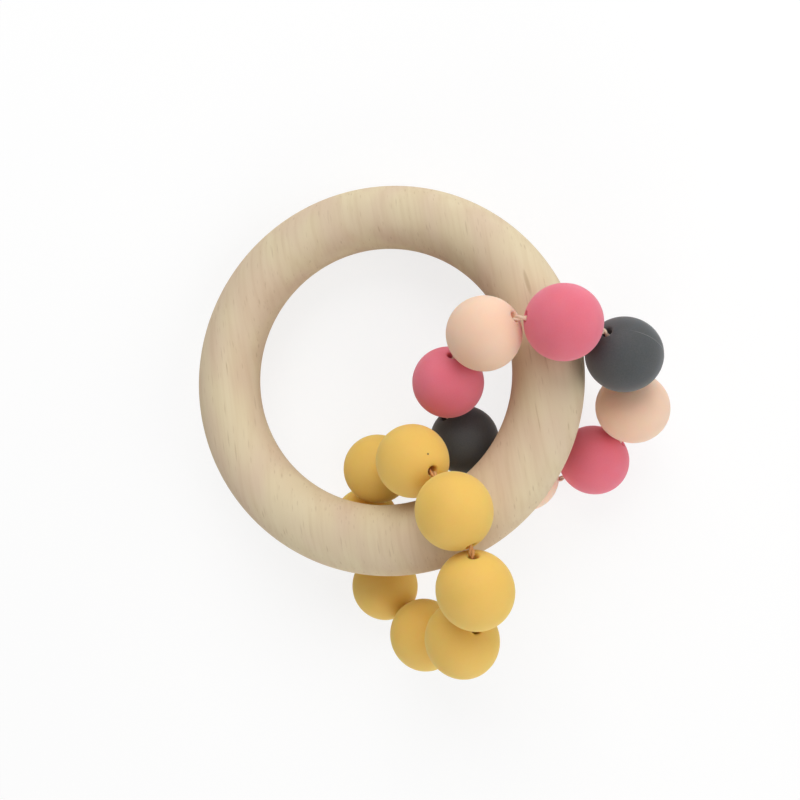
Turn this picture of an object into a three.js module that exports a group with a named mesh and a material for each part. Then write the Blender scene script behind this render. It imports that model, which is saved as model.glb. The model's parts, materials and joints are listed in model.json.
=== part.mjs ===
// Teether: a turned wooden ring that carries two strung loops of round silicone beads.
// Millimetres, +Z up. It lies on a table as photographed: one side of the ring and one bead
// of each loop touch the table, so the ring stands a little tilted.
import * as THREE from "three";

// Wooden ring
const RING_OUTER_DIAMETER = 68;
const RING_TUBE_DIAMETER = 11.2;

// Silicone beads
const BEAD_DIAMETER = 12;
const BORE_ROUNDING = 0.2;
const BEADS_PER_LOOP = 8;

// Nylon cord, and the wrapped knot that closes it inside one bead of each loop
const CORD_DIAMETER = 0.9;
const KNOT_WRAPS = 3;
const POCKET_RAMP = 1;

// Clearances between the pieces
const BORE_CLEARANCE = 0.35;
const SEAT_GAP = 0.35;
const KNOT_GAP = 0.3;

// Free cord: the gap between two beads, and what is left over after the bead with the knot
const YELLOW_SLACK = 0.33;
const YELLOW_KNOT_SLACK = 0.5;
const MIXED_SLACK = 0.4;
const MIXED_KNOT_SLACK = 0.75;

// How far each loop bends out of its plane, to either side
const YELLOW_SADDLE = 0.36;
const MIXED_SADDLE = 1.2;

// How the loops hang on the ring, with angles in degrees in the ring's own frame.
// Each loop's first bead rides on top of the ring. seatAngle leans that bead outwards over the
// tube, turn swings the loop about the seat, and lean is found by letting the loop fall sideways
// from startLean until another bead meets the ring. stretch and stretchAngle make the loop oval,
// and saddleAngle says where round the loop it bends out of its plane. The loops' first beads are
// as far apart along the ring as so many strung beads would be.
const YELLOW_RING_ANGLE = -60;
const BEADS_BETWEEN_LOOPS = 2.84;
const YELLOW_LOOP = {
  seatAngle: -11,
  turn: -1.5,
  startLean: -20,
  stretch: 1.045,
  stretchAngle: 95.5,
  saddle: YELLOW_SADDLE,
  saddleAngle: 31,
  slack: YELLOW_SLACK,
  knotSlack: YELLOW_KNOT_SLACK,
};
const MIXED_LOOP = {
  seatAngle: 13,
  turn: -17,
  startLean: -20,
  stretch: 1.125,
  stretchAngle: 113.5,
  saddle: MIXED_SADDLE,
  saddleAngle: -2,
  slack: MIXED_SLACK,
  knotSlack: MIXED_KNOT_SLACK,
};

// Bead names and colours in threading order, from the bead that rides on the ring
const YELLOW_BEADS = [
  ["yellow_bead_1", "yellow"],
  ["yellow_bead_2", "yellow"],
  ["yellow_bead_3", "yellow"],
  ["yellow_bead_4", "yellow"],
  ["yellow_bead_5", "yellow"],
  ["yellow_bead_6", "yellow"],
  ["yellow_bead_7", "yellow"],
  ["yellow_bead_8", "yellow"],
];
const MIXED_BEADS = [
  ["pink_bead_1", "pink"],
  ["grey_bead_1", "grey"],
  ["peach_bead_1", "peach"],
  ["pink_bead_2", "pink"],
  ["peach_bead_2", "peach"],
  ["grey_bead_2", "grey"],
  ["pink_bead_3", "pink"],
  ["peach_bead_3", "peach"],
];

// The bead of each loop that lies under the ring: it holds the knot and rests on the table
const YELLOW_UNDER_BEAD = "yellow_bead_6";
const MIXED_UNDER_BEAD = "peach_bead_2";

// Facet counts
const RING_STEPS = 60;
const RING_SIDES = 18;
const BEAD_STEPS = 16;
const SKIN_STEPS = 10;
const MOUTH_STEPS = 2;
const WRAP_STEPS = 4;
const CORD_STEPS = 80;
const CORD_SIDES = 8;

// Sizes that follow from the ones above
const TUBE_RADIUS = RING_TUBE_DIAMETER / 2;
const TUBE_FACE_RADIUS = TUBE_RADIUS * Math.cos(Math.PI / RING_SIDES);
const RING_RADIUS = RING_OUTER_DIAMETER / 2 - TUBE_RADIUS;
const BEAD_RADIUS = BEAD_DIAMETER / 2;
const CORD_RADIUS = CORD_DIAMETER / 2;
const BORE_RADIUS = CORD_RADIUS + BORE_CLEARANCE;
const KNOT_RADIUS = CORD_RADIUS + CORD_DIAMETER;
const KNOT_HALF_LENGTH = (KNOT_WRAPS * CORD_DIAMETER) / 2;
const MOUTH_X = BORE_RADIUS + BORE_ROUNDING;
const MOUTH_Y = Math.sqrt((BEAD_RADIUS - BORE_ROUNDING) ** 2 - MOUTH_X ** 2);
const YELLOW_PITCH = BEAD_DIAMETER + YELLOW_SLACK;
const SPACING_ANGLE = (BEADS_BETWEEN_LOOPS * YELLOW_PITCH) / RING_RADIUS;

const radians = THREE.MathUtils.degToRad;

// Colours and finish
const finish = (color, roughness) =>
  new THREE.MeshStandardMaterial({ color, roughness, metalness: 0 });
const MATERIALS = {
  wood: finish("#d8c4a5", 0.6),
  yellow: finish("#e8be62", 0.65),
  peach: finish("#f2cdb0", 0.65),
  pink: finish("#d86a7a", 0.65),
  grey: finish("#5a5c5e", 0.65),
  cord: finish("#efe4d6", 0.7),
};

function namedMesh(name, geometry, material) {
  const mesh = new THREE.Mesh(geometry, material);
  mesh.name = name;
  return mesh;
}

function arcPoints(x, y, radius, from, to, steps) {
  return new THREE.EllipseCurve(x, y, radius, radius, from, to).getPoints(steps);
}

// Half section of a bead: round skin, rounded bore mouths, and a bore that is stretched over
// the knot in the bead that holds one. The bore runs along Y.
function beadProfile(holdsKnot) {
  const rim = Math.atan2(MOUTH_Y, MOUTH_X);
  const skin = arcPoints(0, 0, BEAD_RADIUS, -rim, rim, SKIN_STEPS);
  const top = arcPoints(MOUTH_X, MOUTH_Y, BORE_ROUNDING, rim, Math.PI, MOUTH_STEPS);
  const bottom = arcPoints(
    MOUTH_X, -MOUTH_Y, BORE_ROUNDING, Math.PI, 2 * Math.PI - rim, MOUTH_STEPS,
  );
  const pocketRadius = KNOT_RADIUS + KNOT_GAP;
  const pocketHalf = KNOT_HALF_LENGTH + KNOT_GAP;
  const pocket = [
    new THREE.Vector2(BORE_RADIUS, pocketHalf + POCKET_RAMP),
    new THREE.Vector2(pocketRadius, pocketHalf),
    new THREE.Vector2(pocketRadius, -pocketHalf),
    new THREE.Vector2(BORE_RADIUS, -pocketHalf - POCKET_RAMP),
  ];
  return [...skin, ...top.slice(1), ...(holdsKnot ? pocket : []), ...bottom];
}

// Barrel of cord wraps, with half-round ridges, along Y
function knotGeometry() {
  const points = [new THREE.Vector2(0, -KNOT_HALF_LENGTH)];
  for (let wrap = 0; wrap < KNOT_WRAPS; wrap++) {
    const height = (wrap + 0.5) * CORD_DIAMETER - KNOT_HALF_LENGTH;
    const ridge = arcPoints(
      KNOT_RADIUS - CORD_RADIUS, height, CORD_RADIUS, -Math.PI / 2, Math.PI / 2, WRAP_STEPS,
    );
    points.push(...(wrap ? ridge.slice(1) : ridge));
  }
  points.push(new THREE.Vector2(0, KNOT_HALF_LENGTH));
  return new THREE.LatheGeometry(points, BEAD_STEPS);
}

// Ring tube with one row of facets turned so that the ring rests flat at the table azimuth
function ringGeometry(tableAzimuth, tilt) {
  const halfStep = Math.PI / RING_STEPS;
  const tableFace = Math.atan(Math.tan(tilt) * Math.cos(halfStep)) - Math.PI / 2;
  const points = [];
  for (let side = 0; side <= RING_SIDES; side++) {
    const angle = tableFace + ((side + 0.5) * 2 * Math.PI) / RING_SIDES;
    const x = RING_RADIUS + TUBE_RADIUS * Math.cos(angle);
    points.push(new THREE.Vector2(x, TUBE_RADIUS * Math.sin(angle)));
  }
  const start = tableAzimuth + Math.PI / 2 - halfStep;
  return new THREE.LatheGeometry(points, RING_STEPS, start).rotateX(Math.PI / 2);
}

// Bead centres in the loop's own frame: the first bead at the origin, its bore along X and the
// middle of the loop below it, on an oval that closes with the stated slack
function loopPlaces({ stretch, stretchAngle, saddle, saddleAngle, slack, knotSlack }, knotBead) {
  const start = radians(stretchAngle);
  const unit = new THREE.EllipseCurve(0, 0, 1, stretch, start, start + 2 * Math.PI);
  const pitch = BEAD_DIAMETER + slack;
  const chords = BEADS_PER_LOOP * pitch + knotSlack;
  const arcPerChord = Math.PI / BEADS_PER_LOOP / Math.sin(Math.PI / BEADS_PER_LOOP);
  const scale = (chords * arcPerChord) / unit.getLength();
  const first = unit.getPoint(0);
  const toMiddle = first.clone().negate().angle();
  const bend = radians(saddleAngle);
  return Array.from({ length: BEADS_PER_LOOP }, (_, index) => {
    const spare = index > knotBead ? knotSlack : 0;
    const point = unit.getPointAt((index * pitch + spare) / chords);
    const flat = point.sub(first).rotateAround(new THREE.Vector2(), -toMiddle);
    const phase = 2 * ((2 * Math.PI * index) / BEADS_PER_LOOP - bend);
    const sag = saddle * (Math.cos(2 * bend) - Math.cos(phase));
    return new THREE.Vector3(-flat.y * scale, sag, -flat.x * scale);
  });
}

// Frame of a loop on the ring: out to the tube at its ring angle, round the tube by its seat
// angle, up to the first bead's seat, then turned and leaned
function loopFrame(ringAngle, { seatAngle, turn }, lean) {
  const seat = new THREE.Matrix4().makeTranslation(0, 0, TUBE_RADIUS + SEAT_GAP + BEAD_RADIUS);
  return new THREE.Matrix4()
    .makeRotationZ(ringAngle)
    .multiply(new THREE.Matrix4().makeTranslation(RING_RADIUS, 0, 0))
    .multiply(new THREE.Matrix4().makeRotationY(radians(seatAngle)))
    .multiply(seat)
    .multiply(new THREE.Matrix4().makeRotationZ(radians(turn)))
    .multiply(new THREE.Matrix4().makeRotationX(lean));
}

// Least distance from the ring's skin to any bead but the first
function beadClearance(places, frame) {
  const gaps = places.slice(1).map((place) => {
    const p = place.clone().applyMatrix4(frame);
    const toTube = Math.hypot(Math.hypot(p.x, p.y) - RING_RADIUS, p.z);
    return toTube - TUBE_RADIUS - BEAD_RADIUS;
  });
  return Math.min(...gaps);
}

// The lean at which a falling loop is stopped by the ring, found by halving
function settledLean(places, ringAngle, loop) {
  let clear = radians(loop.startLean);
  let blocked = radians(-90);
  for (let halving = 0; halving < 30; halving++) {
    const lean = (clear + blocked) / 2;
    const free = beadClearance(places, loopFrame(ringAngle, loop, lean)) > SEAT_GAP;
    clear = free ? lean : clear;
    blocked = free ? blocked : lean;
  }
  return clear;
}

// The cord runs straight through each bore and bends between two beads, from one end of the
// knot right round to the other
function cordGeometry(places, bores, knotBead) {
  const along = (bead, distance) => places[bead].clone().addScaledVector(bores[bead], distance);
  const knotEnd = KNOT_HALF_LENGTH + KNOT_GAP;
  const path = new THREE.CurvePath();
  let from = along(knotBead, knotEnd);
  for (let step = 0; step < BEADS_PER_LOOP; step++) {
    const bead = (knotBead + step) % BEADS_PER_LOOP;
    const next = (bead + 1) % BEADS_PER_LOOP;
    const leave = along(bead, MOUTH_Y);
    const enter = along(next, -MOUTH_Y);
    const handle = leave.distanceTo(enter) / 3;
    path.add(new THREE.LineCurve3(from, leave));
    path.add(new THREE.CubicBezierCurve3(
      leave, along(bead, MOUTH_Y + handle), along(next, -MOUTH_Y - handle), enter,
    ));
    from = enter;
  }
  path.add(new THREE.LineCurve3(from, along(knotBead, -knotEnd)));
  const section = new THREE.Shape().absarc(0, 0, CORD_RADIUS, 0, 2 * Math.PI);
  return new THREE.ExtrudeGeometry(section, {
    extrudePath: path,
    steps: CORD_STEPS,
    curveSegments: CORD_SIDES / 2,
    bevelEnabled: false,
  });
}

// One strung loop, in its place on the ring
function beadLoop(prefix, beads, loop, ringAngle, underBead) {
  const knotBead = beads.findIndex(([name]) => name === underBead);
  const places = loopPlaces(loop, knotBead);
  const bores = places.map((place, index) => {
    const before = places[(index + BEADS_PER_LOOP - 1) % BEADS_PER_LOOP];
    const after = places[(index + 1) % BEADS_PER_LOOP];
    return after.clone().sub(before).normalize();
  });
  const alongBore = (index) =>
    new THREE.Quaternion().setFromUnitVectors(new THREE.Vector3(0, 1, 0), bores[index]);
  const group = new THREE.Group();
  beads.forEach(([name, colour], index) => {
    const geometry = new THREE.LatheGeometry(beadProfile(index === knotBead), BEAD_STEPS);
    const mesh = namedMesh(name, geometry, MATERIALS[colour]);
    mesh.position.copy(places[index]);
    mesh.quaternion.copy(alongBore(index));
    group.add(mesh);
  });
  group.add(namedMesh(`${prefix}_cord`, cordGeometry(places, bores, knotBead), MATERIALS.cord));
  const knot = namedMesh(`${prefix}_cord_knot`, knotGeometry(), MATERIALS.cord);
  knot.position.copy(places[knotBead]);
  knot.quaternion.copy(alongBore(knotBead));
  group.add(knot);
  const frame = loopFrame(ringAngle, loop, settledLean(places, ringAngle, loop));
  frame.decompose(group.position, group.quaternion, group.scale);
  return { group, underPlace: places[knotBead].clone().applyMatrix4(frame) };
}

// Up direction of the table that touches the ring's far side and the two beads under the ring,
// in the ring's frame
function tableNormal(firstBead, secondBead) {
  let up = firstBead.clone().add(secondBead).setZ(RING_RADIUS).normalize();
  for (let round = 0; round < 40; round++) {
    const level = new THREE.Vector3(up.x, up.y, 0).normalize();
    const rim = level.multiplyScalar(-RING_RADIUS).addScaledVector(up, -TUBE_FACE_RADIUS);
    const first = firstBead.clone().addScaledVector(up, -BEAD_RADIUS).sub(rim);
    const second = secondBead.clone().addScaledVector(up, -BEAD_RADIUS).sub(rim);
    up = first.cross(second).normalize();
    up.multiplyScalar(Math.sign(up.z));
  }
  return up;
}

const yellowAngle = radians(YELLOW_RING_ANGLE);
const mixedAngle = yellowAngle + SPACING_ANGLE;
const yellow = beadLoop("yellow", YELLOW_BEADS, YELLOW_LOOP, yellowAngle, YELLOW_UNDER_BEAD);
const mixed = beadLoop("mixed", MIXED_BEADS, MIXED_LOOP, mixedAngle, MIXED_UNDER_BEAD);
const up = tableNormal(yellow.underPlace, mixed.underPlace);
const ring = namedMesh(
  "wooden_ring",
  ringGeometry(Math.atan2(-up.y, -up.x), Math.acos(up.z)),
  MATERIALS.wood,
);

// The whole teether laid on the table, with the origin under the middle of its box
const teether = new THREE.Group();
teether.add(ring, yellow.group, mixed.group);
teether.quaternion.setFromUnitVectors(up, new THREE.Vector3(0, 0, 1));
teether.updateMatrixWorld(true);
const box = new THREE.Box3().setFromObject(teether, true);
const middle = box.getCenter(new THREE.Vector3());
teether.position.set(-middle.x, -middle.y, -box.min.z);

export default teether;
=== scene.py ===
# Looks of a teether: a sanded beech ring that carries two loops of silicone beads, and the twisted
# nylon cords and knots that hold each loop together. Metres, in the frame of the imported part.
import json
import math
import random

import bmesh
import bpy
from mathutils import Matrix, Vector
from mathutils.geometry import interpolate_bezier


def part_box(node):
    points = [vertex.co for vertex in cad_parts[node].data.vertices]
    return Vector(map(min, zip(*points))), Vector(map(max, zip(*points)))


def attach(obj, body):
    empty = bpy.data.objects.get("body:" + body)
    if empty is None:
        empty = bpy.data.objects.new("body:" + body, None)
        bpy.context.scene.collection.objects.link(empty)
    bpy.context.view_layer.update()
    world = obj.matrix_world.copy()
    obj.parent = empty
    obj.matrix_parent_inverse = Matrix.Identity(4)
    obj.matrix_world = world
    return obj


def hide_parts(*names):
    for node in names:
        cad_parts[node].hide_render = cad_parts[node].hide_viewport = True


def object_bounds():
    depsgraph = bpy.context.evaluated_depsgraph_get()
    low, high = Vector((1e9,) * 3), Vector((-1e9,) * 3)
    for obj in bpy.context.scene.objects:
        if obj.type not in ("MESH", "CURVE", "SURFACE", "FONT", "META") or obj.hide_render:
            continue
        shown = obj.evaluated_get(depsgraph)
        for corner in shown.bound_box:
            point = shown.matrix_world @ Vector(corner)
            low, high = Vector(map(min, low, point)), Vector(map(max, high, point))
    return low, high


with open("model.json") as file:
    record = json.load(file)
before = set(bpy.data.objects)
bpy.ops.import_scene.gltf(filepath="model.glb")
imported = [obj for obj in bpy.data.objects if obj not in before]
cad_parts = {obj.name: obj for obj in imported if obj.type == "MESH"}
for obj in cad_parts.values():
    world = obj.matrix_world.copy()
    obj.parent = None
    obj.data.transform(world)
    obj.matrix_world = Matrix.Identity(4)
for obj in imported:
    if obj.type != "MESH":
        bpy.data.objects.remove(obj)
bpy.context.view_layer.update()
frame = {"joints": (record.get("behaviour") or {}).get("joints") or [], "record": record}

MM = 0.001
NEAR = 1e-6

# Wooden ring
RING_RADIUS = 28.4 * MM
TUBE_RADIUS = 5.6 * MM
RING_STEPS = 288
RING_SIDES = 72

# Uneven sanding: the ring's rim and its hole are a little small and off centre, towards a direction
# that is measured in the ring's plane
RIM_TRIM = 0.1 * MM
RIM_SHIFT = 0.1 * MM
HOLE_TRIM = 0.28 * MM
HOLE_SHIFT = 0.63 * MM
SHIFT_DIRECTION = math.radians(141)

# Silicone beads, with a bore, rounded mouths and a raised parting line
BEAD_RADIUS = 6.0 * MM
BORE_RADIUS = 0.8 * MM
MOUTH_ROUNDING = 0.35 * MM
FLASH_HALF_WIDTH = 0.05 * MM
FLASH_HEIGHT = 0.012 * MM
BEAD_SEGMENTS = 128
BEAD_RINGS = 80
MOUTH_STEPS = 8

# Where the parting line's pale tint, partly the flash's own paler colour and partly a painted
# highlight, fades out, from the bead's middle towards each mouth
SEAM_FADE = (3.6 * MM, 5.2 * MM)

# Nylon cord of two twisted strands, and the knot that closes it inside one bead of a loop
CORD_RADIUS = 0.45 * MM
STRANDS = 2
STRAND_RADIUS = 0.22 * MM
STRAND_SIDES = 8
TWIST_PITCH = 3.4 * MM
ROUTE_STEP = 0.2 * MM
BEND_POINTS = 9
CORD_SLIP = 0.3 * MM
KNOT_RADIUS = 1.35 * MM
KNOT_HALF_LENGTH = 1.35 * MM
KNOT_TURNS = 2
KNOT_TURN_STEPS = 32
WRAP_SIDES = 12
CORD_SMOOTHING = math.radians(60)
POCKET_GAP = 0.3 * MM
POCKET_RAMP = 1.0 * MM

# Beads in threading order, from the one that rides on the ring, and the ones that hide the knots
YELLOW_LOOP = [f"yellow_bead_{count}" for count in range(1, 9)]
MIXED_LOOP = [
    "pink_bead_1", "grey_bead_1", "peach_bead_1", "pink_bead_2",
    "peach_bead_2", "grey_bead_2", "pink_bead_3", "peach_bead_3",
]
KNOT_BEADS = {"yellow": "yellow_bead_6", "mixed": "peach_bead_2"}

# How far each bead is rolled about its bore from where its parting line is level, in degrees: by
# chance, apart from the grey bead whose parting line shows
ROLL_SEED = 11
MOST_ROLL = 14
SEAM_BEAD = "grey_bead_1"
SEAM_BEAD_ROLL = 37

# A speck on a yellow bead, from the bead's middle
SPECK_BEAD = "yellow_bead_8"
SPECK_DIRECTION = (0.497, 0.338, 0.799)
SPECK_RADIUS = 0.2 * MM

# The grain of the ring runs up the picture and leans to the left at the top. Cells of its patterns
# are in millimetres across, along and through the grain
GRAIN_LEAN = math.radians(8)
TONE_CELL = (6, 12, 6)
STREAK_CELL = (0.8, 24, 3)
FIBRE_CELL = (0.18, 5, 0.5)
WANDER_CELL = (9, 40, 9)
FLECK_CELL = (0.55, 7, 1.1)
SMALL_FLECK_CELL = (0.4, 3.2, 0.8)
FLECK_SIZE = 0.32

# Growth bands: how they lean across and through the grain, wander, and follow each other
BAND_ACROSS = 0.55
BAND_THROUGH = 0.85
BAND_WANDER = 7
BAND_RATE = 2.1

# A dark grain mark beside the first pink bead, in millimetres across and along the grain
MARK_ACROSS = 26.85
MARK_ALONG = 10.2
MARK_HALF_WIDTH = 0.45
MARK_HALF_LENGTH = 2.7
MARK_SLANT = 0.11

# Patterns of the silicone and the nylon, in waves to the metre
MOTTLE_SCALE = 140
POWDER_SCALE = 4200
CLOUD_SCALE = 500
NYLON_FIBRE_SCALE = 6500

# Camera, and where it looks
CAMERA_PLACE = (0.01194, 0.02313, 0.15360)
CAMERA_LOOK = (-0.15616, -0.07535, -0.98485)
CAMERA_UP = (0.04054, 0.99576, -0.08261)
CAMERA_LENS = 37.11
CAMERA_SENSOR = 36
CAMERA_CLIP = 0.005
CAMERA_SHIFT = (0.0475, -0.05375)

# Light: soft boxes, each with its direction and power, under an even sky
SOFT_BOXES = {
    "right_box": ((0.8, 0, 0.6), 1.4),
    "back_box": ((0, 0.8, 0.6), 2.7),
    "front_box": ((0, -0.95, 0.3), 1.75),
}
BOX_DISTANCE = 0.7
BOX_SIZE = 0.55
SKY_LEVEL = 0.36
FLOOR_SIZE = 4
SHADOW_REACH = (0.1, 0.3)
FLOOR_ALBEDO = 0.85
FLOOR_SHADE = 0.26
FLOOR_GLOW = 0.76
WHITE = (1, 1, 1, 1)

BODY_OF = {
    node: body
    for body, nodes in frame["record"]["behaviour"]["bodies"].items()
    for node in nodes
}
JOINTS = {joint["name"]: joint for joint in frame["joints"]}


class Socket:
    """A shader output that takes part in Python arithmetic."""

    def __init__(self, finish, output):
        self.finish = finish
        self.output = output

    def __add__(self, other):
        return self.finish.math("ADD", self, other)

    def __sub__(self, other):
        return self.finish.math("SUBTRACT", self, other)

    def __rsub__(self, other):
        return self.finish.math("SUBTRACT", other, self)

    def __mul__(self, other):
        return self.finish.math("MULTIPLY", self, other)

    def __truediv__(self, other):
        return self.finish.math("DIVIDE", self, other)

    __radd__ = __add__
    __rmul__ = __mul__


class Finish:
    """A node tree that is put together from expressions."""

    def __init__(self, tree):
        self.tree = tree

    def feed(self, socket, value):
        if isinstance(value, Socket):
            self.tree.links.new(value.output, socket)
        else:
            socket.default_value = value

    def node(self, kind, settings, inputs, output=0):
        made = self.tree.nodes.new(kind)
        for name, value in settings.items():
            setattr(made, name, value)
        for key, value in inputs.items():
            self.feed(made.inputs[key], value)
        return Socket(self, made.outputs[output])

    def math(self, operation, *values):
        return self.node("ShaderNodeMath", {"operation": operation}, dict(enumerate(values)))

    def absolute(self, value):
        return self.math("ABSOLUTE", value)

    def fade(self, value, start, end):
        """0 up to start and 1 from end, with a smooth rise between them."""
        inputs = {"Value": value, "From Min": start, "From Max": end}
        return self.node("ShaderNodeMapRange", {"interpolation_type": "SMOOTHSTEP"}, inputs)

    def mix(self, factor, first, second):
        settings = {"data_type": "RGBA"}
        return self.node("ShaderNodeMix", settings, {0: factor, 6: first, 7: second}, output=2)

    def tint(self, factor, colour, shade):
        settings = {"data_type": "RGBA", "blend_type": "MULTIPLY"}
        return self.node("ShaderNodeMix", settings, {0: factor, 6: colour, 7: shade}, output=2)

    def object_place(self):
        return self.node("ShaderNodeTexCoord", {}, {}, output="Object")

    def attribute(self, name):
        return self.node("ShaderNodeAttribute", {"attribute_name": name}, {}, output="Vector")

    def axis(self, vector, name):
        return self.node("ShaderNodeSeparateXYZ", {}, {0: vector}, output=name)

    def distance(self, vector, other):
        settings = {"operation": "DISTANCE"}
        return self.node("ShaderNodeVectorMath", settings, {0: vector, 1: other}, output="Value")

    def laid(self, vector, centre, turn, cell):
        """Places counted in cells from a centre, in a frame that is turned."""
        settings = {"vector_type": "TEXTURE"}
        inputs = {"Vector": vector, "Location": centre, "Rotation": turn, "Scale": cell}
        return self.node("ShaderNodeMapping", settings, inputs)

    def noise(self, vector, scale=1.0, detail=2.0, roughness=0.5):
        inputs = {"Vector": vector, "Scale": scale, "Detail": detail, "Roughness": roughness}
        return self.node("ShaderNodeTexNoise", {}, inputs, output="Fac")

    def cells(self, vector, output):
        return self.node("ShaderNodeTexVoronoi", {}, {"Vector": vector, "Scale": 1.0}, output)

    def bump(self, height, distance, strength=1.0):
        inputs = {"Height": height, "Distance": distance, "Strength": strength}
        return self.node("ShaderNodeBump", {}, inputs)


def solid_finish(name, **constants):
    """A new material, its Finish and its surface shader with the constants set."""
    material = bpy.data.materials.new(name)
    material.use_nodes = True
    surface = material.node_tree.nodes["Principled BSDF"]
    for socket, value in constants.items():
        surface.inputs[socket.replace("_", " ")].default_value = value
    return material, Finish(material.node_tree), surface


def screen(red, green, blue):
    """Linear colour of a screen colour that is given from 0 to 255."""
    def linear(value):
        share = value / 255
        return share / 12.92 if share <= 0.04045 else ((share + 0.055) / 1.055) ** 2.4
    return (linear(red), linear(green), linear(blue), 1.0)


def wood_frame():
    """The ring's middle and a turn whose Y runs along the grain and Z along the ring's axis."""
    joint = JOINTS["yellow_travel"]
    axis = Vector(joint["axis"]).normalized()
    lean = Vector((-math.sin(GRAIN_LEAN), math.cos(GRAIN_LEAN), 0))
    across = lean.cross(axis).normalized()
    along = axis.cross(across)
    turn = Matrix((across, along, axis)).transposed()
    return Vector(joint["pos_m"]), turn


def beech():
    """Pale sanded beech: broad tone, faint growth bands and streaks, short dark ray flecks, and one
    longer grain mark."""
    material, finish, surface = solid_finish("beech", Specular_IOR_Level=0.02)
    centre, turn = wood_frame()
    turn = turn.to_euler()
    place = finish.object_place()

    def grain(cell):
        return finish.laid(place, centre, turn, [size * MM for size in cell])

    def flecks(cell, chance):
        """Short dashes along the grain, as many as chance leaves."""
        spot = grain(cell)
        dash = 1 - finish.fade(finish.cells(spot, "Distance"), 0.3 * FLECK_SIZE, FLECK_SIZE)
        return dash * finish.fade(finish.axis(finish.cells(spot, "Color"), "X"), chance, 1.0)

    tone = finish.noise(grain(TONE_CELL), detail=1.0)
    streak = finish.noise(grain(STREAK_CELL), detail=2.0)
    fibre = finish.noise(grain(FIBRE_CELL), detail=2.0)
    wander = finish.noise(grain(WANDER_CELL), detail=1.0)
    across, along, through = [finish.axis(grain((1, 1, 1)), name) for name in "XYZ"]
    phase = across * BAND_ACROSS + through * BAND_THROUGH + wander * BAND_WANDER
    band = finish.math("SINE", phase * BAND_RATE) * 0.5 + 0.5
    fleck = flecks(FLECK_CELL, chance=0.45)
    small_fleck = flecks(SMALL_FLECK_CELL, chance=0.5)
    mark_along = along - MARK_ALONG
    mark_across = (across - MARK_ACROSS + mark_along * MARK_SLANT) / MARK_HALF_WIDTH
    mark_along = mark_along / MARK_HALF_LENGTH
    mark = 1 - finish.fade(mark_across * mark_across + mark_along * mark_along, 0.0, 1.0)

    colour = finish.mix(finish.fade(tone, 0.3, 0.7), screen(226, 211, 179), screen(221, 200, 174))
    colour = finish.tint(band * 0.12, colour, screen(240, 231, 220))
    colour = finish.tint(finish.fade(streak, 0.4, 0.7) * 0.2, colour, screen(231, 218, 203))
    colour = finish.tint(fibre * 0.14, colour, screen(236, 228, 218))
    colour = finish.tint(fleck * 0.3, colour, screen(190, 168, 146))
    colour = finish.tint(small_fleck * 0.25, colour, screen(200, 178, 154))
    colour = finish.tint(mark * 0.42, colour, screen(190, 174, 158))
    finish.feed(surface.inputs["Base Color"], colour)
    finish.feed(surface.inputs["Roughness"], 0.6 + fibre * 0.16)
    height = fibre * 0.4 - fleck * 0.6 - small_fleck * 0.3 - mark * 0.6
    finish.feed(surface.inputs["Normal"], finish.bump(height, 0.02 * MM, 0.5))
    return material


def silicone(name, colour, shade, sheen=0.05, flash_tint_and_highlight=0.05, speck=None):
    """Matte moulded silicone: soft mottle, fine powdery grain, a paler parting line that is partly
    the flash's own colour and partly a painted highlight, and a dark speck where a place for one is
    given."""
    material, finish, surface = solid_finish(
        f"{name}_silicone",
        Specular_IOR_Level=0.25,
        Sheen_Weight=sheen,
        Subsurface_Weight=1.0,
        Subsurface_Radius=(1.0, 0.6, 0.4),
        Subsurface_Scale=1.5 * MM,
    )
    place = finish.object_place()
    mottle = finish.noise(place, scale=MOTTLE_SCALE, detail=2.0)
    powder = finish.noise(place, scale=POWDER_SCALE, detail=3.0)
    on_bead = finish.attribute("bead_place")
    side = finish.absolute(finish.axis(on_bead, "Y"))
    near_mouth = finish.fade(finish.absolute(finish.axis(on_bead, "Z")), *SEAM_FADE)
    seam = (1 - finish.fade(side, 0.2 * FLASH_HALF_WIDTH, FLASH_HALF_WIDTH)) * (1 - near_mouth)
    body = finish.mix(finish.fade(mottle, 0.3, 0.7), screen(*colour), screen(*shade))
    body = finish.mix(powder * 0.05, body, screen(250, 246, 240))
    # Parting line's pale tint: partly the flash's own paler colour, partly a painted highlight along
    # the ridge
    body = finish.mix(seam * flash_tint_and_highlight, body, screen(250, 248, 244))
    if speck:
        dot = 1 - finish.fade(finish.distance(place, speck), 0.5 * SPECK_RADIUS, SPECK_RADIUS)
        body = finish.mix(dot, body, screen(45, 28, 10))
    finish.feed(surface.inputs["Base Color"], body)
    finish.feed(surface.inputs["Roughness"], 0.55 + powder * 0.2)
    finish.feed(surface.inputs["Normal"], finish.bump(powder, 0.01 * MM, 0.5))
    return material


def nylon(name, colour, shade):
    """Twisted nylon: fine fibres that run along each strand, on white cord tinted with a painted
    reflection of the beads' colour.
    """
    material, finish, surface = solid_finish(
        f"{name}_nylon",
        Specular_IOR_Level=0.4,
        Sheen_Weight=0.2,
        Subsurface_Weight=0.6,
        Subsurface_Radius=(1.0, 0.8, 0.6),
        Subsurface_Scale=0.4 * MM,
    )
    place = finish.object_place()
    fibre = finish.noise(place, scale=NYLON_FIBRE_SCALE, detail=2.0)
    cloud = finish.noise(place, scale=CLOUD_SCALE, detail=1.0)
    # The given tones are a painted reflection of the beads on white cord
    tone = finish.mix(cloud, screen(*colour), screen(*shade))
    finish.feed(surface.inputs["Base Color"], finish.tint(fibre * 0.4, tone, screen(222, 206, 188)))
    finish.feed(surface.inputs["Roughness"], 0.5 + fibre * 0.2)
    finish.feed(surface.inputs["Normal"], finish.bump(fibre, 0.02 * MM, 0.6))
    return material


def start_edit():
    bpy.ops.object.mode_set(mode="EDIT")
    bpy.ops.mesh.select_mode(type="VERT")


def end_edit():
    bpy.ops.object.mode_set(mode="OBJECT")


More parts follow.
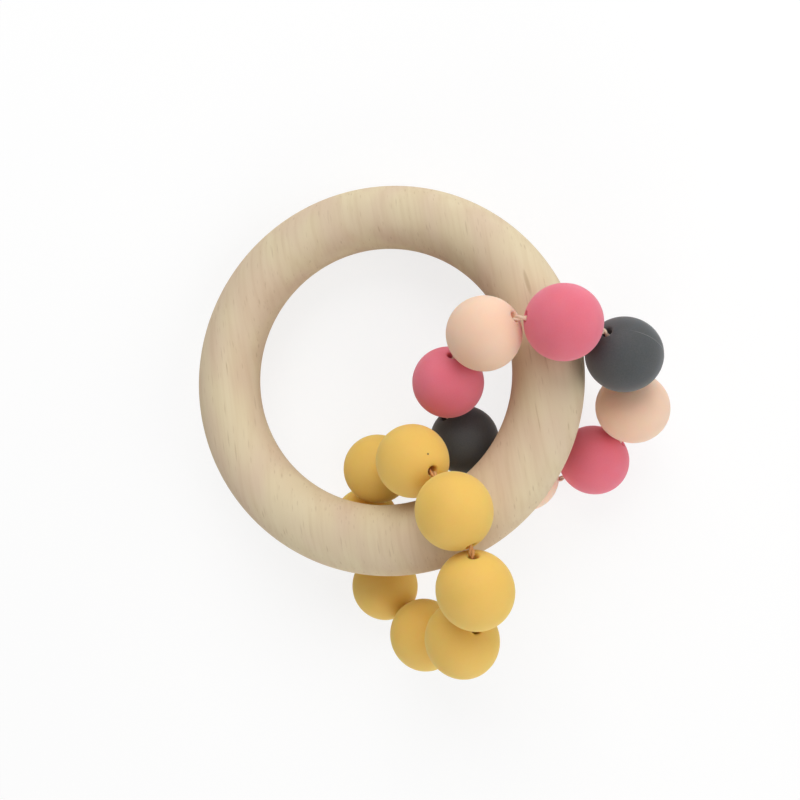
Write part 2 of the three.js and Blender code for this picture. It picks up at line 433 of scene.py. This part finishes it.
def select_points(piece, chosen):
    """Selects only the points whose place is chosen, and the edges between them."""
    bpy.ops.mesh.select_all(action="DESELECT")
    points = bmesh.from_edit_mesh(piece.data)
    for point in points.verts:
        point.select_set(chosen(point.co))
    points.select_flush(True)
    bmesh.update_edit_mesh(piece.data)


def close_mesh():
    """Merges doubled points and turns the faces outwards."""
    bpy.ops.mesh.select_all(action="SELECT")
    bpy.ops.mesh.remove_doubles(threshold=NEAR)
    bpy.ops.mesh.normals_make_consistent(inside=False)


def shifted_reach(angle, shift, radius):
    """How far a circle reaches from the ring's middle, at an angle from the way it is shifted."""
    return shift * math.cos(angle) + math.sqrt(radius**2 - (shift * math.sin(angle)) ** 2)


def sand_unevenly(ring):
    """Fits the tube between the rim and the hole, which are both off centre."""
    shift_angle = SHIFT_DIRECTION - GRAIN_LEAN
    for point in ring.data.vertices:
        angle = math.atan2(point.co.y, point.co.x) - shift_angle
        rim = shifted_reach(angle, RIM_SHIFT, RING_RADIUS + TUBE_RADIUS - RIM_TRIM)
        hole = shifted_reach(angle, HOLE_SHIFT, RING_RADIUS - TUBE_RADIUS - HOLE_TRIM)
        reach = point.co.xy.length
        share = (reach - RING_RADIUS) / TUBE_RADIUS
        point.co.xy = point.co.xy * (rim + hole + share * (rim - hole)) / (2 * reach)


def ring_piece():
    """The tube's round section, spun about the ring's axis, sanded and laid where the ring is."""
    bpy.ops.object.select_all(action="DESELECT")
    bpy.ops.mesh.primitive_circle_add(
        vertices=RING_SIDES,
        radius=TUBE_RADIUS,
        location=(RING_RADIUS, 0, 0),
        rotation=(math.pi / 2, 0, 0),
    )
    ring = bpy.context.object
    ring.name = "ring_wood"
    bpy.ops.object.transform_apply(location=True, rotation=True, scale=True)
    start_edit()
    bpy.ops.mesh.select_all(action="SELECT")
    bpy.ops.mesh.spin(steps=RING_STEPS, angle=2 * math.pi, center=(0, 0, 0), axis=(0, 0, 1))
    close_mesh()
    end_edit()
    bpy.ops.object.shade_smooth()
    sand_unevenly(ring)
    centre, turn = wood_frame()
    ring.data.transform(Matrix.Translation(centre) @ turn.to_4x4())
    return ring


def draw_rim(outline):
    """Extrudes the selected rim, which is round about Z, through (radius, height) points."""
    for (radius, height), (next_radius, next_height) in zip(outline, outline[1:]):
        rise = {"value": (0, 0, next_height - height)}
        bpy.ops.mesh.extrude_region_move(TRANSFORM_OT_translate=rise)
        share = next_radius / radius
        bpy.ops.transform.resize(value=(share, share, 1), center_override=(0, 0, 0))


def mouth_outline():
    """(radius, height) points round the mouth, from the skin to the bore."""
    middle_radius = BORE_RADIUS + MOUTH_ROUNDING
    middle_height = math.sqrt((BEAD_RADIUS - MOUTH_ROUNDING) ** 2 - middle_radius**2)
    start = math.atan2(middle_height, middle_radius)
    outline = []
    for step in range(MOUTH_STEPS + 1):
        angle = start + (math.pi - start) * step / MOUTH_STEPS
        radius = middle_radius + MOUTH_ROUNDING * math.cos(angle)
        outline.append((radius, middle_height + MOUTH_ROUNDING * math.sin(angle)))
    rim = (BEAD_RADIUS * math.cos(start), BEAD_RADIUS * math.sin(start))
    return [rim, *outline[1:]]


def bead_blank(name, holds_knot):
    """A moulded bead about the origin with its bore along Z: half a ball, its mouth and bore drawn
    in from the cut cap, mirrored, with a parting line raised right round it."""
    bpy.ops.object.select_all(action="DESELECT")
    bpy.ops.mesh.primitive_uv_sphere_add(
        segments=BEAD_SEGMENTS, ring_count=BEAD_RINGS, radius=BEAD_RADIUS
    )
    bead = bpy.context.object
    bead.name = name
    outline = mouth_outline()
    rim_radius, rim_height = outline[0]
    start_edit()
    bpy.ops.mesh.select_all(action="SELECT")
    bpy.ops.mesh.bisect(
        plane_co=(0, 0, 0), plane_no=(0, 0, 1), clear_inner=True, threshold=NEAR
    )
    bpy.ops.mesh.select_all(action="SELECT")
    bpy.ops.mesh.bisect(
        plane_co=(0, 0, rim_height), plane_no=(0, 0, 1), clear_outer=True, threshold=NEAR
    )
    select_points(bead, lambda place: place.z > rim_height - NEAR)
    pocket_radius = KNOT_RADIUS + POCKET_GAP
    pocket_half = KNOT_HALF_LENGTH + POCKET_GAP
    pocket = [(BORE_RADIUS, pocket_half + POCKET_RAMP), (pocket_radius, pocket_half)]
    bore_end = (pocket_radius if holds_knot else BORE_RADIUS, 0)
    draw_rim([*outline, *(pocket if holds_knot else []), bore_end])
    end_edit()
    mirror = bead.modifiers.new("other_half", "MIRROR")
    mirror.use_axis = (False, False, True)
    mirror.merge_threshold = NEAR
    bpy.ops.object.modifier_apply(modifier=mirror.name)
    start_edit()
    close_mesh()
    on_skin = BEAD_RADIUS - NEAR
    select_points(bead, lambda place: abs(place.y) < NEAR and place.length > on_skin)
    bpy.ops.mesh.bevel(offset=FLASH_HALF_WIDTH, segments=2, affect="EDGES")
    on_skin = BEAD_RADIUS - 0.1 * MOUTH_ROUNDING
    select_points(bead, lambda place: abs(place.y) < NEAR and place.length > on_skin)
    swell = 1 + FLASH_HEIGHT / BEAD_RADIUS
    bpy.ops.transform.resize(value=(swell, swell, swell), center_override=(0, 0, 0))
    end_edit()
    bpy.ops.object.shade_smooth()
    kept = bead.data.attributes.new("bead_place", "FLOAT_VECTOR", "POINT")
    for point, place in zip(bead.data.vertices, kept.data):
        place.vector = point.co
    return bead


def bead_centre(name):
    low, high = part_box(name)
    return (low + high) / 2


def speck_place():
    return bead_centre(SPECK_BEAD) + Vector(SPECK_DIRECTION) * BEAD_RADIUS


def loop_places(beads):
    """The bead centres of a loop, and the directions of their bores."""
    places = [bead_centre(name) for name in beads]
    count = len(places)
    bores = [
        (places[(index + 1) % count] - places[index - 1]).normalized() for index in range(count)
    ]
    return places, bores


def placed_copy(blank, name, centre, bore, roll):
    """A copy of a blank with its own mesh, laid along a bore with its parting line level, and rolled
    about the bore from there."""
    piece = blank.copy()
    piece.data = blank.data.copy()
    piece.name = name
    bpy.context.scene.collection.objects.link(piece)
    up = (Vector((0, 0, 1)) - bore * bore.z).normalized()
    laid = Matrix((up.cross(bore), up, bore)).transposed().to_4x4()
    piece.data.transform(Matrix.Translation(centre) @ Matrix.Rotation(roll, 4, bore) @ laid)
    return piece


def tube_piece(name, routes, radius, sides):
    """A mesh of round tubes along routes."""
    curve = bpy.data.curves.new(name, "CURVE")
    curve.dimensions = "3D"
    curve.bevel_depth = radius
    curve.bevel_resolution = sides // 2 - 2
    curve.use_fill_caps = True
    for route in routes:
        line = curve.splines.new("POLY")
        line.points.add(len(route) - 1)
        for point, place in zip(line.points, route):
            point.co = (*place, 1)
    piece = bpy.data.objects.new(name, curve)
    bpy.context.scene.collection.objects.link(piece)
    bpy.ops.object.select_all(action="DESELECT")
    piece.select_set(True)
    bpy.context.view_layer.objects.active = piece
    bpy.ops.object.convert(target="MESH")
    piece = bpy.context.object
    start_edit()
    close_mesh()
    end_edit()
    bpy.ops.object.shade_smooth_by_angle(angle=CORD_SMOOTHING)
    return piece


def cord_route(places, bores, knot):
    """The cord's middle line, from one end of the knot right round to the other: pulled against the
    inner side of each bore, straight through it, and bent between two beads."""
    count = len(places)
    mouth = mouth_outline()[-1][1]
    middle = sum(places, Vector()) / count

    def in_knot(distance):
        return places[knot] + bores[knot] * distance

    def along(bead, distance):
        inwards = middle - places[bead]
        inwards -= bores[bead] * inwards.dot(bores[bead])
        return places[bead] + inwards.normalized() * CORD_SLIP + bores[bead] * distance

    route = [in_knot(KNOT_HALF_LENGTH - CORD_RADIUS)]
    for step in range(count):
        bead = (knot + step) % count
        after = (bead + 1) % count
        leave = along(bead, mouth)
        enter = along(after, -mouth)
        handle = (enter - leave).length / 3
        leave_handle = along(bead, mouth + handle)
        enter_handle = along(after, -mouth - handle)
        route.extend(interpolate_bezier(leave, leave_handle, enter_handle, enter, BEND_POINTS))
    route.append(in_knot(CORD_RADIUS - KNOT_HALF_LENGTH))
    return even_steps(route, ROUTE_STEP)


def even_steps(route, step):
    """The same line with its points a step apart."""
    points = [route[0]]
    spare = step
    for start, end in zip(route, route[1:]):
        length = (end - start).length
        distance = spare
        while distance <= length:
            points.append(start.lerp(end, distance / length))
            distance += step
        spare = distance - length
    return points


def twisted_strands(route):
    """Strand routes that wind round a cord's middle line."""
    offset = CORD_RADIUS - STRAND_RADIUS
    strands = [[] for _ in range(STRANDS)]
    heading = (route[1] - route[0]).normalized()
    side = heading.orthogonal().normalized()
    for index, place in enumerate(route):
        before = route[max(index - 1, 0)]
        after = route[min(index + 1, len(route) - 1)]
        next_heading = (after - before).normalized()
        side.rotate(heading.rotation_difference(next_heading))
        heading = next_heading
        other = heading.cross(side)
        twist = 2 * math.pi * index * ROUTE_STEP / TWIST_PITCH
        for strand, points in enumerate(strands):
            angle = twist + 2 * math.pi * strand / STRANDS
            points.append(place + (side * math.cos(angle) + other * math.sin(angle)) * offset)
    return strands


def knot_routes(centre, bore):
    """The knot's wraps as one winding, and the cord that runs through them."""
    side = bore.orthogonal().normalized()
    other = bore.cross(side)
    wrap_radius = KNOT_RADIUS - CORD_RADIUS
    wrap_half = KNOT_HALF_LENGTH - CORD_RADIUS
    steps = KNOT_TURNS * KNOT_TURN_STEPS
    winding = []
    for step in range(steps + 1):
        angle = 2 * math.pi * step / KNOT_TURN_STEPS
        height = wrap_half * (2 * step / steps - 1)
        out = side * math.cos(angle) + other * math.sin(angle)
        winding.append(centre + out * wrap_radius + bore * height)
    core = [centre - bore * KNOT_HALF_LENGTH, centre + bore * KNOT_HALF_LENGTH]
    return [winding, core]


def stand_for(piece, node, material):
    """The piece takes a node's place: it moves with the node's body and has the slot's finish."""
    piece.data.materials.clear()
    piece.data.materials.append(material)
    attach(piece, BODY_OF[node])
    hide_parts(node)


def string_loop(prefix, beads, blanks, finishes, chance):
    """All the pieces of one loop: its beads, its cord and its knot."""
    places, bores = loop_places(beads)
    knot = beads.index(KNOT_BEADS[prefix])
    for index, name in enumerate(beads):
        roll = chance.uniform(-MOST_ROLL, MOST_ROLL)
        if name == SEAM_BEAD:
            roll = SEAM_BEAD_ROLL
        blank = blanks["knot" if index == knot else "plain"]
        piece = placed_copy(
            blank, f"{name}_silicone", places[index], bores[index], math.radians(roll)
        )
        slot = f"{name.split('_')[0]}_silicone"
        stand_for(piece, name, finishes[slot])
    route = cord_route(places, bores, knot)
    strands = twisted_strands(route)
    cord = tube_piece(f"{prefix}_cord_strands", strands, STRAND_RADIUS, STRAND_SIDES)
    stand_for(cord, f"{prefix}_cord", finishes[f"{prefix}_cord"])
    windings = knot_routes(places[knot], bores[knot])
    wraps = tube_piece(f"{prefix}_knot_wraps", windings, CORD_RADIUS, WRAP_SIDES)
    stand_for(wraps, f"{prefix}_cord_knot", finishes[f"{prefix}_cord"])


def seen_directly(finish):
    """1 where the camera, a reflection or a clear surface looks straight at a thing."""
    looks = [
        finish.node("ShaderNodeLightPath", {}, {}, output=name)
        for name in ("Is Camera Ray", "Is Glossy Ray", "Is Transmission Ray")
    ]
    return finish.math("MINIMUM", looks[0] + looks[1] + looks[2], 1.0)


def white_floor(height):
    """A pale floor that looks white to the camera and keeps the object's shadow near it."""
    bpy.ops.object.select_all(action="DESELECT")
    bpy.ops.mesh.primitive_plane_add(size=FLOOR_SIZE, location=(0, 0, height))
    floor = bpy.context.object
    floor.name = "floor"
    material = bpy.data.materials.new("floor_white")
    material.use_nodes = True
    tree = material.node_tree
    tree.nodes.remove(tree.nodes["Principled BSDF"])
    finish = Finish(tree)
    pale = (FLOOR_ALBEDO, FLOOR_ALBEDO, FLOOR_ALBEDO, 1)
    shade = (FLOOR_SHADE, FLOOR_SHADE, FLOOR_SHADE, 1)
    matte = finish.node("ShaderNodeBsdfDiffuse", {}, {"Color": pale})
    shadow = finish.node("ShaderNodeBsdfDiffuse", {}, {"Color": shade})
    glow = finish.node("ShaderNodeEmission", {}, {"Color": WHITE, "Strength": FLOOR_GLOW})
    near = finish.node("ShaderNodeAddShader", {}, {0: shadow, 1: glow})
    plain = finish.node("ShaderNodeEmission", {}, {"Color": WHITE, "Strength": 1.0})
    far = finish.fade(finish.distance(finish.object_place(), (0, 0, 0)), *SHADOW_REACH)
    shown = finish.node("ShaderNodeMixShader", {}, {0: far, 1: near, 2: plain})
    mixed = finish.node("ShaderNodeMixShader", {}, {0: seen_directly(finish), 1: matte, 2: shown})
    finish.feed(tree.nodes["Material Output"].inputs["Surface"], mixed)
    floor.data.materials.append(material)


def soft_sky():
    """Even white light from all round, which looks white to the camera."""
    world = bpy.data.worlds.new("soft_sky")
    bpy.context.scene.world = world
    world.use_nodes = True
    finish = Finish(world.node_tree)
    background = world.node_tree.nodes["Background"]
    background.inputs["Color"].default_value = WHITE
    level = SKY_LEVEL + seen_directly(finish) * (1 - SKY_LEVEL)
    finish.feed(background.inputs["Strength"], level)


def soft_box(name, direction, power):
    """A round area lamp that faces the object."""
    light = bpy.data.lights.new(name, "AREA")
    light.shape = "DISK"
    light.size = BOX_SIZE
    light.energy = power
    lamp = bpy.data.objects.new(name, light)
    direction = Vector(direction).normalized()
    lamp.location = direction * BOX_DISTANCE
    lamp.rotation_euler = direction.to_track_quat("Z", "Y").to_euler()
    bpy.context.scene.collection.objects.link(lamp)


def photo_camera():
    """The camera at the photograph's viewing angle."""
    lens = bpy.data.cameras.new("camera")
    lens.sensor_width = CAMERA_SENSOR
    lens.lens = CAMERA_LENS
    lens.shift_x, lens.shift_y = CAMERA_SHIFT
    lens.clip_start = CAMERA_CLIP
    camera = bpy.data.objects.new("camera", lens)
    look = Vector(CAMERA_LOOK).normalized()
    right = look.cross(Vector(CAMERA_UP)).normalized()
    turn = Matrix((right, right.cross(look), -look)).transposed().to_4x4()
    camera.matrix_world = Matrix.Translation(CAMERA_PLACE) @ turn
    bpy.context.scene.collection.objects.link(camera)
    bpy.context.scene.camera = camera


finishes = {
    "wood": beech(),
    "yellow_silicone": silicone("yellow", (238, 199, 99), (235, 195, 94), speck=speck_place()),
    "peach_silicone": silicone("peach", (250, 212, 186), (248, 208, 182)),
    "pink_silicone": silicone("pink", (232, 119, 139), (229, 114, 134), sheen=0.1),
    # The grey bead's parting line gets a stronger pale tint, partly a painted highlight along its
    # ridge
    "grey_silicone": silicone("grey", (71, 75, 78), (67, 71, 74), sheen=0.18, flash_tint_and_highlight=0.2),
    # Both cords are white nylon: the orange tone of the yellow loop's cord and the faint peach tone
    # of the mixed loop's cord are painted reflections of the beads beside them
    "yellow_cord": nylon("yellow_reflection_painted", (230, 174, 110), (222, 163, 98)),
    "mixed_cord": nylon("pale", (250, 226, 206), (244, 216, 194)),
}
stand_for(ring_piece(), "wooden_ring", finishes["wood"])
blanks = {
    "plain": bead_blank("plain_blank", holds_knot=False),
    "knot": bead_blank("knot_blank", holds_knot=True),
}
chance = random.Random(ROLL_SEED)
string_loop("yellow", YELLOW_LOOP, blanks, finishes, chance)
string_loop("mixed", MIXED_LOOP, blanks, finishes, chance)
for blank in blanks.values():
    bpy.data.objects.remove(blank)

visual_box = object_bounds()
white_floor(visual_box[0].z)
soft_sky()
for name, (direction, power) in SOFT_BOXES.items():
    soft_box(name, direction, power)
photo_camera()
bpy.context.scene.view_settings.view_transform = "Standard"
